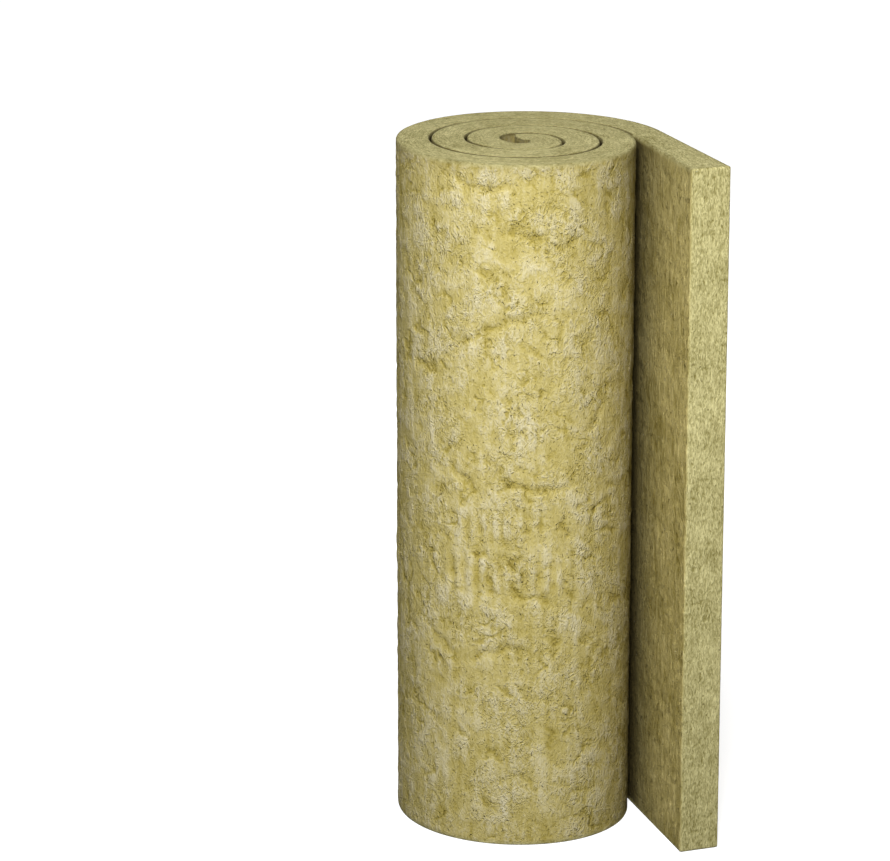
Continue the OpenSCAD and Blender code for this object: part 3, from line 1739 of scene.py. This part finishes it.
@dataclass(frozen=True)
class PhotoCamera:
    """The camera, found by fitting the roll's edges in an image of 890 by 861 pixels."""

    distance: float = 5.7285
    height: float = 2.261
    bearing: float = -110.972
    pitch: float = 16.457
    pan: float = -19.895
    lens: float = 167.94
    clip_end: float = 100.0

    def build(self, winding: Winding) -> None:
        """Sets the camera up.

        Args:
            winding: The winding, whose left centre the camera is measured from.
        """
        data = bpy.data.cameras.new("camera")
        data.lens = self.lens
        data.clip_end = self.clip_end
        made = stand("camera", data)
        turn = math.radians(self.bearing)
        made.location = (winding.left[0] + self.distance * math.cos(turn),
                         winding.left[1] + self.distance * math.sin(turn), self.height)
        made.rotation_euler = (math.radians(90 - self.pitch), 0.0, math.radians(self.pan))
        bpy.context.scene.camera = made


@dataclass(frozen=True)
class Lamp:
    """A soft lamp that faces the roll."""

    name: str
    bearing: float
    distance: float
    height: float
    size: float
    power: float
    aim: float
    spread: float = 60.0

    def build(self) -> None:
        """Sets the lamp up."""
        data = bpy.data.lights.new(self.name, "AREA")
        data.size = self.size
        data.energy = self.power
        data.spread = math.radians(self.spread)
        made = stand(self.name, data)
        made.visible_camera = False
        turn = math.radians(self.bearing)
        made.location = (self.distance * math.cos(turn), self.distance * math.sin(turn), self.height)
        aim = Vector((0.0, 0.0, self.aim)) - made.location
        made.rotation_euler = aim.to_track_quat("-Z", "Y").to_euler()


@dataclass(frozen=True)
class Studio:
    """A pale floor, a white world and soft lamps."""

    lamps: tuple[Lamp, ...] = (
        Lamp("key", bearing=-115.5, distance=3.2, height=2.95, size=1.0, power=20.8, aim=0.75),
        Lamp("back_fill", bearing=69, distance=2.8, height=0.65, size=1.2, power=5.0, aim=0.45),
    )
    white: Rgba = (1.0, 1.0, 1.0, 1.0)
    sky: float = 0.05
    floor_reach: float = 40.0
    floor_colour: Rgba = (0.9, 0.9, 0.9, 1.0)
    floor_bounce: Rgba = (0.12, 0.12, 0.12, 1.0)
    # The floor's own glow, and the distances from the roll between which it grows
    floor_glow: Span = (0.72, 1.0)
    glow_span: Span = (0.35, 1.4)

    def build(self) -> None:
        """Sets the studio up."""
        for lamp in self.lamps:
            lamp.build()
        self._world()
        self._floor()
        bpy.context.scene.view_settings.view_transform = "Standard"

    def _shown(self, nodes: TreeWriter) -> Field:
        """Tells what is looked at from what only gives light.

        Args:
            nodes: The tree that asks.

        Returns:
            One where the camera, a mirror or a lens looks, and zero for other light.
        """
        path = nodes.node("ShaderNodeLightPath")
        seen = nodes.math("MAXIMUM", nodes.out(path, "Is Camera Ray"), nodes.out(path, "Is Glossy Ray"))
        return nodes.math("MAXIMUM", seen, nodes.out(path, "Is Transmission Ray"))

    def _world(self) -> None:
        """Makes the world white to look at and soft as a light."""
        world = bpy.data.worlds.new("studio")
        world.use_nodes = True
        nodes = TreeWriter(world.node_tree)
        ground = world.node_tree.nodes["Background"]
        ground.inputs["Color"].default_value = self.white
        nodes.feed(ground, Strength=nodes.between(self._shown(nodes), self.sky, 1.0))
        bpy.context.scene.world = world

    def _floor_finish(self) -> bpy.types.Material:
        """Makes the floor's finish, which is pale to look at and dull as a light.

        Returns:
            The material.
        """
        nodes = MaterialTree("pale_floor")
        bounce = nodes.fed("ShaderNodeBsdfDiffuse", self.floor_bounce)
        pale = nodes.fed("ShaderNodeBsdfDiffuse", self.floor_colour)
        away = nodes.node("ShaderNodeVectorMath", operation="LENGTH")
        nodes.plug(nodes.place(), away.inputs[0])
        share = nodes.step(nodes.out(away, "Value"), *self.glow_span)
        glow = nodes.node("ShaderNodeEmission")
        nodes.feed(glow, Strength=nodes.between(share, *self.floor_glow))
        lit = nodes.fed("ShaderNodeAddShader", pale, nodes.out(glow))
        return nodes.close(nodes.fed("ShaderNodeMixShader", self._shown(nodes), bounce, lit))

    def _floor(self) -> None:
        """Lays the floor, which takes the roll's shadow."""
        corners = ((-1, -1), (1, -1), (1, 1), (-1, 1))
        mesh = bpy.data.meshes.new("floor")
        mesh.from_pydata([(x * self.floor_reach, y * self.floor_reach, 0.0) for x, y in corners],
                         [], [(0, 1, 2, 3)])
        mesh.materials.append(self._floor_finish())
        floor = stand("floor", mesh)


def main() -> None:
    """Builds the roll, its wisps and the studio round it."""
    logging.basicConfig(level=logging.INFO, format="%(message)s")
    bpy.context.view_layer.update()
    winding = Winding.from_box(*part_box(NODE))
    PhotoCamera().build(winding)
    Studio().build()
    felt = WoolFinish("stone_wool_felt").build()
    mat = WoolMat(winding, felt)
    piece = mat.build()
    mat.dress(piece)
    LOG.info("%s: %d faces", piece.name, len(piece.data.polygons))
    for wisps in WISPS:
        tuft = wisps.build(piece, felt)
        wisps.dress(tuft)
        LOG.info("%s: %d faces", tuft.name, len(tuft.data.polygons))


if __name__ == "__main__":
    main()
